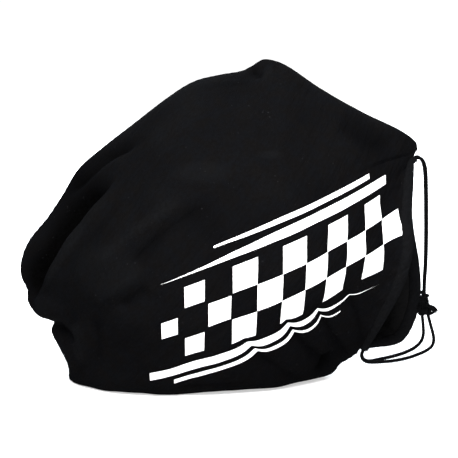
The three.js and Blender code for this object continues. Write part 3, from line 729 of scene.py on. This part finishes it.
class Finish:
    """One material and the nodes that feed its shader."""

    def __init__(self, name):
        self.material = bpy.data.materials.new(name)
        self.material.use_nodes = True
        self.tree = self.material.node_tree
        self.shader = self.tree.nodes["Principled BSDF"]

    def node(self, kind, settings=None, sockets=None, output=0):
        """Adds a node, sets it, then fills or links its sockets, and gives one output."""
        made = self.tree.nodes.new(kind)
        for key, value in (settings or {}).items():
            setattr(made, key, value)
        for key, value in (sockets or {}).items():
            self.feed(made.inputs[key], value)
        return Level(self, made.outputs[output])

    def feed(self, socket, value):
        if isinstance(value, Level):
            self.tree.links.new(value.socket, socket)
        else:
            socket.default_value = value

    def math(self, operation, *values):
        return self.node("ShaderNodeMath", {"operation": operation}, dict(enumerate(values)))

    def within(self, level, low, high):
        return (level > low) * (level < high)

    def ease(self, level, low, high):
        """0 below low, 1 above high, and a smooth step between."""
        sockets = {"Value": level, "From Min": low, "From Max": high}
        return self.node("ShaderNodeMapRange", {"interpolation_type": "SMOOTHSTEP"}, sockets)

    def mix(self, share, a, b):
        return self.node("ShaderNodeMix", {"data_type": "RGBA"}, {0: share, 6: a, 7: b}, 2)

    def noise(self, place, scale, detail=2.0, roughness=0.5):
        sockets = {"Vector": place, "Scale": scale, "Detail": detail, "Roughness": roughness}
        return self.node("ShaderNodeTexNoise", {}, sockets)

    def turned(self, place, angle, stretch):
        """A place turned about its origin, then stretched along its own axes."""
        sockets = {"Vector": place, "Rotation": (0, 0, angle)}
        turned = self.node("ShaderNodeMapping", {}, sockets)
        return self.node("ShaderNodeMapping", {}, {"Vector": turned, "Scale": stretch})

    def bump(self, height, distance, strength, under=None):
        sockets = {"Height": height, "Distance": distance, "Strength": strength}
        if under is not None:
            sockets["Normal"] = under
        return self.node("ShaderNodeBump", {}, sockets)

    def set(self, **values):
        """Fills the shader's sockets; a name's underscores stand for spaces."""
        for key, value in values.items():
            self.feed(self.shader.inputs[key.replace("_", " ")], value)

    def cut(self):
        """The piece's own flat cut, in metres: its place, and both of its numbers."""
        place = self.node("ShaderNodeUVMap", {"uv_map": "flat"})
        split = self.node("ShaderNodeSeparateXYZ", {}, {0: place})
        return place, split, Level(self, split.socket.node.outputs[1])


# Colours: the knit's two shades, its darker tone, which also paints shade into shallow folds, painted
# shade for the hollows of folds, the inner face painted lighter to lift the shade inside the sack, a
# paler black for rubbed patches and casings and for painted highlight on crests, and what lies on it
BLUE_BLACK = (0.0023, 0.0024, 0.0028, 1)
BROWN_BLACK = (0.0025, 0.0023, 0.0023, 1)
DARK_TONE_AND_FOLD_SHADE = (0.0013, 0.0013, 0.0015, 1)
PAINTED_SHADE_BLACK = (0.0003, 0.00027, 0.00022, 1)
INNER_PAINTED_LIGHTER = (0.0036, 0.0036, 0.0037, 1)
WEAR_AND_HIGHLIGHT_BLACK = (0.0042, 0.0044, 0.0048, 1)
LINT = (0.011, 0.011, 0.012, 1)
THREAD_BLACK = (0.0034, 0.0034, 0.0036, 1)
INK = (0.86, 0.86, 0.86, 1)
CORD_BLACK = (0.0012, 0.0012, 0.0013, 1)

# Painted shade in the hollows of the folds, shallow and deep, and painted highlight on their crests,
# by their lift: where each starts and where it is full, in millimetres, and its share
PAINTED_FOLD_SHADE = (0.3, 4, 0.4)
PAINTED_HOLLOW_SHADE = (1, 14, 0.9)
PAINTED_CREST_HIGHLIGHT = (0.3, 5, 0.42)

# Shares of the other tints, and how rough the knit is and how much less rough the ink
SHADE_SHARE = 0.45
GRAIN_SHARE = 0.3
WORN_SHARE = 0.5
LINT_SHARE = 0.7
KNIT_ROUGH = 0.86
INK_SMOOTHER = 0.25

# Fineness of what is uneven, as noise to a metre, from the cloth's broad shade to the cord's fuzz
SHADE_FINE = 11
PATCH_FINE = 40
MOTTLE_FINE = 75
WORN_FINE = 90
GRAIN_FINE = 300
LINT_FINE = 420
FLUFF_FINE = 700
INK_WEAR_FINE = 900
PAPER_FINE = 900
INK_EDGE_FINE = 1500
FUZZ_FINE = 2200

# Wales and courses of the knit and the length of a cord thread's turn, in metres, and its lean
WALE = 0.0011
COURSE = 0.0013
KNIT_DEEP = 0.00012
THREAD = 0.00055
THREAD_LEAN = 1.4
THREAD_DEEP = 0.0003

# Faint drag lines of the stretched knit: the way they run, their fineness along and across, and depth
STREAK_WAY = math.radians(-52)
STREAK_STRETCH = (16, 85, 1)
STREAK_DEEP = 0.004

# Ovals where the cloth is rubbed paler: middle and half lengths on the flat cut, in metres
WORN_PATCHES = ((-0.018, 0.227, 0.034, 0.014), (0.05, 0.243, 0.016, 0.006), (-0.115, 0.13, 0.05, 0.03))

# Print: its middle, slope and slant on the flat cut. Its squares: side, rows, first column and the one
# past the last, and the columns between which they would grow from nothing to full. Its stripes, in
# its own directions: lower edge, thickness, left and right end, and the thin end, 1 for the left.
PRINT_MIDDLE = (0.058, 0.1145)
PRINT_SLOPE = math.radians(20)
PRINT_SLANT = 0.36
SQUARE = 0.0255
SQUARE_ROWS = 3
SQUARES_ALONG = (-5, 6)
SQUARES_GROW = (-11, -1)
STRIPES = (
    (0.0455, 0.0095, -0.122, 0.139, 1),
    (0.0605, 0.005, -0.07, 0.112, 1),
    (-0.055, 0.0095, -0.138, 0.13, -1),
    (-0.066, 0.005, -0.112, 0.08, -1),
)
STRIPE_TAPER = (-0.13, 0.02)
INK_RAGGED = 0.0005


def cloth_finish(name, printed=False, rubbed=0.0):
    """Brushed black knit: mottled, linty, with fine wales and fuzz, painted shade in the hollows of its
    folds and painted highlight on their crests; rubbed is the share that wear has made paler, and printed
    adds the white ink."""
    paint = Finish(name)
    place, u, v = paint.cut()
    body = paint.node("ShaderNodeTexCoord", output=3)
    mottle = paint.ease(paint.noise(body, MOTTLE_FINE, 4, 0.7), 0.36, 0.64)
    shade = paint.ease(paint.noise(body, SHADE_FINE, 2, 0.5), 0.35, 0.7)
    colour = paint.mix(mottle, BLUE_BLACK, BROWN_BLACK)
    colour = paint.mix(shade * SHADE_SHARE, colour, DARK_TONE_AND_FOLD_SHADE)
    relief = paint.node("ShaderNodeAttribute", {"attribute_name": "relief"}, output=2)

    def tint(lift, start, full, share):
        return paint.ease(lift, start, full) * share

    # Painted shade darkens the hollows of the folds and painted highlight pales their crests, both by
    # their lift
    colour = paint.mix(tint(0 - relief, *PAINTED_FOLD_SHADE), colour, DARK_TONE_AND_FOLD_SHADE)
    colour = paint.mix(tint(0 - relief, *PAINTED_HOLLOW_SHADE), colour, PAINTED_SHADE_BLACK)
    colour = paint.mix(tint(relief, *PAINTED_CREST_HIGHLIGHT) + rubbed, colour, WEAR_AND_HIGHLIGHT_BLACK)
    grain = paint.ease(paint.noise(body, GRAIN_FINE, 3, 0.75), 0.4, 0.6)
    colour = paint.mix(grain * GRAIN_SHARE, colour, DARK_TONE_AND_FOLD_SHADE)
    colour = paint.mix(worn_patch(paint, place, u, v) * WORN_SHARE, colour, WEAR_AND_HIGHLIGHT_BLACK)
    fluff = paint.noise(body, FLUFF_FINE, 2, 0.7)
    lint = paint.ease(paint.noise(body, LINT_FINE, 1, 0.4), 0.73, 0.8)
    linty = paint.ease(paint.noise(body, PATCH_FINE, 1, 0.5), 0.5, 0.66)
    colour = paint.mix(lint * linty * LINT_SHARE, colour, LINT)
    # The inner face is painted lighter than the outer one, to lift the shade inside the sack
    colour = paint.mix((u < INNER_SIDE) * (0.7 + mottle * 0.3), colour, INNER_PAINTED_LIGHTER)
    colour = paint.mix(u > THREAD_SIDE, colour, THREAD_BLACK)
    rough = KNIT_ROUGH + fluff * 0.12
    if printed:
        worn = paint.ease(paint.noise(body, INK_WEAR_FINE, 2, 0.6), 0.16, 0.3)
        ink = print_mask(paint, place, u, v) * worn
        colour = paint.mix(ink, colour, INK)
        rough = rough - ink * INK_SMOOTHER
    wales = paint.math("SINE", u * (2 * math.pi / WALE))
    courses = paint.math("SINE", v * (2 * math.pi / COURSE))
    knit = wales * 0.5 + courses * 0.3 + fluff * 1.6
    streaks = paint.noise(paint.turned(place, STREAK_WAY, STREAK_STRETCH), 1, 4, 0.62)
    normal = paint.bump(knit, KNIT_DEEP, 0.7, paint.bump(streaks, STREAK_DEEP, 0.8))
    paint.set(Base_Color=colour, Roughness=rough, Normal=normal)
    paint.set(Sheen_Weight=0.0015, Sheen_Roughness=0.4, Sheen_Tint=(0.55, 0.6, 0.75, 1))
    paint.set(Specular_IOR_Level=0.001)
    return paint.material


def worn_patch(paint, place, u, v):
    """Share of rubbed, faded cloth: ragged ovals on the flat cut, fullest at their middles."""
    ragged = paint.noise(place, WORN_FINE, 3, 0.6)
    worn = 0.0
    for middle_u, middle_v, half_u, half_v in WORN_PATCHES:
        du = (u - middle_u) / half_u
        dv = (v - middle_v) / half_v
        worn = worn + paint.ease(1.5 - (du * du + dv * dv) - ragged, 0, 1)
    return worn * ragged


def print_mask(paint, place, u, v):
    """White ink of the print on the front: a slanted chequered band whose squares shrink to the left,
    framed by tapered stripes."""
    ragged = (paint.noise(place, INK_EDGE_FINE, 1, 0.5) - 0.5) * INK_RAGGED
    du = u - PRINT_MIDDLE[0] + ragged
    dv = v - PRINT_MIDDLE[1] + ragged
    along = du * math.cos(PRINT_SLOPE) + dv * math.sin(PRINT_SLOPE)
    rise = dv * math.cos(PRINT_SLOPE) - du * math.sin(PRINT_SLOPE)
    slanted = along - rise * PRINT_SLANT
    column = paint.math("FLOOR", slanted / SQUARE)
    row = paint.math("FLOOR", rise / SQUARE + 0.5)
    odd = paint.math("FLOORED_MODULO", column + row, 2) > 0.5
    across = paint.math("ABSOLUTE", paint.math("FRACT", slanted / SQUARE) - 0.5)
    upright = paint.math("ABSOLUTE", paint.math("FRACT", rise / SQUARE + 0.5) - 0.5)
    size = paint.ease(column, *SQUARES_GROW) * 0.5
    band = odd * (across < size) * (upright < size)
    band = band * paint.within(column, SQUARES_ALONG[0] - 0.5, SQUARES_ALONG[1] - 0.5)
    ink = band * paint.within(row, -SQUARE_ROWS / 2, SQUARE_ROWS / 2)
    for low, thick, left, right, taper in STRIPES:
        reach = paint.ease(slanted * taper, *STRIPE_TAPER) * thick
        ink = ink + paint.within(slanted, left, right) * (rise > low) * (rise - reach < low)
    return paint.math("MINIMUM", ink, 1)


def cord_finish():
    """Braided synthetic cord: fine threads along each strand of the braid, slightly glossy."""
    paint = Finish("cord_braid")
    _, u, v = paint.cut()
    turn = u * (2 / CORD * BRAID_STRANDS)
    climb = v * (2 * math.pi / (BRAID_PITCH * CORD))
    weave = paint.math("SINE", turn + climb) * paint.math("SINE", turn - climb)
    lean = paint.math("SIGN", weave)
    threads = paint.math("SINE", (u * lean * THREAD_LEAN + v) * (2 * math.pi / THREAD))
    body = paint.node("ShaderNodeTexCoord", output=3)
    fuzz = paint.noise(body, FUZZ_FINE, 2, 0.6)
    colour = paint.mix(fuzz * 0.5 + weave * 0.5, CORD_BLACK, BLUE_BLACK)
    normal = paint.bump(threads * 0.5 + fuzz, THREAD_DEEP, 0.8)
    paint.set(Base_Color=colour, Roughness=0.5 + fuzz * 0.2, Normal=normal)
    paint.set(Sheen_Weight=0.001, Specular_IOR_Level=0.012)
    return paint.material


# Camera, floor and light
camera = bpy.data.objects.new("camera", bpy.data.cameras.new("camera"))
camera.data.lens = LENS
camera.data.sensor_width = SENSOR
camera.data.clip_end = 100
stand = CAMERA_AIM + CAMERA_FAR * np.array([0, -math.cos(CAMERA_RISE), math.sin(CAMERA_RISE)])
camera.location = stand
camera.rotation_euler = (math.pi / 2 - CAMERA_RISE, 0, 0)
bpy.context.scene.collection.objects.link(camera)
bpy.context.scene.camera = camera

FLOOR_HALF = 25
FLOOR_DROP = -0.0004
# The paper glows of itself: least beside the sack, and fully from the second distance on
GLOW_REACH = (0.5, 2.2)
NEAR_GLOW = (0.5, 0.5, 0.5, 1)
FAR_GLOW = (0.98, 0.98, 0.98, 1)
DARK_PAPER = (0.58, 0.58, 0.58, 1)
PALE_PAPER = (0.62, 0.62, 0.62, 1)
floor_corners = np.array([(-1, -1), (1, -1), (1, 1), (-1, 1)]) * FLOOR_HALF
floor_paint = Finish("white_paper")
paper_place = floor_paint.node("ShaderNodeTexCoord", output=3)
paper = floor_paint.noise(paper_place, PAPER_FINE, 2, 0.5)
paper_far = floor_paint.node(
    "ShaderNodeVectorMath", {"operation": "LENGTH"}, {0: paper_place}, output="Value"
)
glow = floor_paint.mix(floor_paint.ease(paper_far, *GLOW_REACH), NEAR_GLOW, FAR_GLOW)
floor_paint.set(
    Base_Color=floor_paint.mix(paper, DARK_PAPER, PALE_PAPER),
    Roughness=0.9,
    Specular_IOR_Level=0.1,
    Emission_Color=glow,
    Emission_Strength=1,
)
floor_points = np.column_stack([floor_corners, np.full(4, FLOOR_DROP)])
floor = make_piece("floor", floor_points, [(0, 1, 2, 3)], floor_paint.material)


def soft_light(name, place, aim, breadth, power, tint=(1, 1, 1)):
    """A square lamp at place that faces aim."""
    lamp = bpy.data.lights.new(name, "AREA")
    lamp.color = tint
    lamp.size = breadth
    lamp.energy = power
    lamp_object = bpy.data.objects.new(name, lamp)
    lamp_object.location = place
    lamp_object.rotation_euler = (Vector(aim) - Vector(place)).to_track_quat("-Z", "Y").to_euler()
    bpy.context.scene.collection.objects.link(lamp_object)


soft_light("front_light", place=(0.05, -1.4, 1.85), aim=(0, 0, 0.15), breadth=0.8, power=165)
soft_light("low_light", place=(0.1, -2.3, 0.45), aim=(0, 0, 0.1), breadth=1.2, power=30)
soft_light(
    "edge_light", place=(0, 1.5, 1.5), aim=(0, 0, 0.2), breadth=1.6, power=130, tint=(0.87, 0.93, 1)
)

SKY_LEVEL = 0.12
sky = bpy.data.worlds.new("studio")
sky.use_nodes = True
sky.node_tree.nodes["Background"].inputs["Color"].default_value = (1, 1, 1, 1)
sky.node_tree.nodes["Background"].inputs["Strength"].default_value = SKY_LEVEL
bpy.context.scene.world = sky
bpy.context.scene.view_settings.view_transform = "Standard"

# Pieces
printed_cloth = cloth_finish("printed_cloth", printed=True)
plain_cloth = cloth_finish("plain_cloth")
casing_cloth = cloth_finish("casing_cloth", rubbed=0.5)
braid = cord_finish()


def dress(piece, slot, *nodes):
    """The piece rides on the one body and stands for its solids, which it hides; slot is not used."""
    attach(piece, "root")
    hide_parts(*nodes)
    return piece


CORD_STEP = 0.0005
FREE_CORDS = {
    "upper_front_strand": UPPER_FRONT,
    "upper_back_strand": UPPER_BACK,
    "lower_front_strand": LOWER_FRONT,
    "lower_back_strand": LOWER_BACK,
}
cord_lines = {cord_name: even_line(route, CORD_STEP) for cord_name, route in FREE_CORDS.items()}
for cord_name, line in cord_lines.items():
    cord = cord_mesh(cord_name.replace("strand", "cord"), line, CORD, braid)
    dress(cord, "cord", cord_name)

for cord_name, table, side in (("front_drawcord", FRONT_HEM, -1), ("back_drawcord", BACK_HEM, 1)):
    line = even_line(casing_frames(table, side, MOUTH_STEPS * FINER)["middle"], CORD_STEP)
    dress(cord_mesh("held_" + cord_name, line, CORD, braid, sides=16), "cord", cord_name)


def knot_lines():
    """Two cords side by side round three crossing lobes: sines and cosines of one turn and of twice
    it, swaying in depth by three times it."""
    turn = np.linspace(0, 2 * np.pi, 181)
    loop = KNOT + np.stack([
        KNOT_BROAD * (np.sin(turn) + 2 * np.sin(2 * turn)),
        -KNOT_DEEP * np.sin(3 * turn),
        -KNOT_TALL * (np.cos(turn) - 2 * np.cos(2 * turn)),
    ], axis=1)
    along = unit(np.gradient(loop, axis=0))
    outward = unit(np.cross(along, (0, 1, 0)))
    tilt = KNOT_TILT * np.sin(2 * turn)[:, None]
    aside = unit(outward * np.cos(tilt) + np.cross(along, outward) * np.sin(tilt))
    return loop + KNOT_PAIR * aside, loop - KNOT_PAIR * aside


def neck_line():
    """Cord wound round the neck of the knot: a spiral whose radius and height run evenly from its top
    to its foot, with both ends drawn inside."""
    share = np.linspace(0, 1, 120)
    turn = 2 * np.pi * NECK_TURNS * share + NECK_START
    radius, height = (between(NECK_FROM[k], NECK_TO[k], share) for k in range(2))
    radius = radius * (NECK_ENDS + (1 - NECK_ENDS) * np.sin(np.pi * share) ** 0.35)
    across = KNOT[0] + radius * np.cos(turn)
    deep = radius * NECK_DEEP * np.sin(turn)
    return np.stack([across, deep, height + NECK_LEAN * np.sin(turn * 0.7)], axis=1)


def frayed(name, end, finish, seed, rows=7, sides=5):
    """Loose fibres at the cut end of a cord: thin tapering rods that fan out from its last point and
    droop by the square of their length."""
    pick = np.random.default_rng(seed)
    way = unit(end[-1] - end[-8])
    side_way = unit(np.cross(way, (0.3, 1, 0.2)))
    up_way = np.cross(way, side_way)
    turn = 2 * np.pi * np.arange(FIBRES) / FIBRES + pick.uniform(-FIBRE_STRAY, FIBRE_STRAY, FIBRES)
    root = CORD * FIBRE_ROOTS * np.sqrt(pick.uniform(0.05, 1, FIBRES))
    out = side_way * np.cos(turn)[:, None] + up_way * np.sin(turn)[:, None]
    length = FIBRE_LONG * pick.uniform(FIBRE_SHORTEST, 1, FIBRES)
    share = np.linspace(0, 1, rows)
    along = (share[None] - FIBRE_SUNK) * length[:, None]
    spread = root[:, None] * (1 + FIBRE_FAN * share**2)
    lines = end[-1] + way * along[..., None] + out[:, None] * spread[..., None]
    lines[..., 2] -= FIBRE_DROOP * share**2
    ring = 2 * np.pi * np.arange(sides) / sides
    rod = side_way * np.cos(ring)[:, None] + up_way * np.sin(ring)[:, None]
    thick = FIBRE_THICK / 2 * (1 - FIBRE_TAPER * share)
    points = lines[:, :, None] + rod[None, None] * thick[None, :, None, None]
    flat = np.zeros((FIBRES * rows * sides, 2))
    return make_piece(name, points.reshape(-1, 3), rod_faces(FIBRES, rows, sides), finish, flat)


def joined(name, pieces):
    """Several meshes made into one piece."""
    with bpy.context.temp_override(active_object=pieces[0], selected_editable_objects=pieces):
        bpy.ops.object.join()
    pieces[0].name = name
    return pieces[0]


knot_cords = [
    cord_mesh(f"knot_part_{k}", line, KNOT_CORD, braid, sides=20) for k, line in enumerate(knot_lines())
]
tails = [even_line(route, CORD_STEP) for route in TAILS]
knot_cords += [cord_mesh(f"tail_{k}", line, CORD, braid, sides=20) for k, line in enumerate(tails)]
knot_cords += [frayed(f"fibres_{k}", line, braid, k) for k, line in enumerate(tails)]
knot_cords += [
    cord_mesh("neck", neck_line(), KNOT_CORD, braid, sides=20),
    cord_mesh("bight", even_line(BIGHT, CORD_STEP), KNOT_CORD, braid, sides=20),
]
knot = dress(joined("tied_knot", knot_cords), "cord", "cord_knot")

for panel_name, table, side, folds, pleats, finish in (
    ("front_panel", FRONT_HEM, -1, FRONT_FOLDS, PLEATS, printed_cloth),
    ("back_panel", BACK_HEM, 1, BACK_FOLDS, (), plain_cloth),
):
    shape = panel_shape(table, side, folds, pleats)
    panel = panel_mesh(panel_name.replace("panel", "cloth"), shape, side, finish)
    dress(panel, "panel_cloth", panel_name)
for hem_name, table, side in (("front_hem", FRONT_HEM, -1), ("back_hem", BACK_HEM, 1)):
    sleeve = casing_mesh("sleeve", table, side, casing_cloth)
    stitches = stitches_mesh("stitches", table, side, casing_cloth)
    casing = joined(hem_name.replace("hem", "casing"), [sleeve, stitches])
    dress(casing, "hem_cloth", hem_name)

for cord_name, line in cord_lines.items():
    [knot] if cord_name == "upper_front_strand" else ()
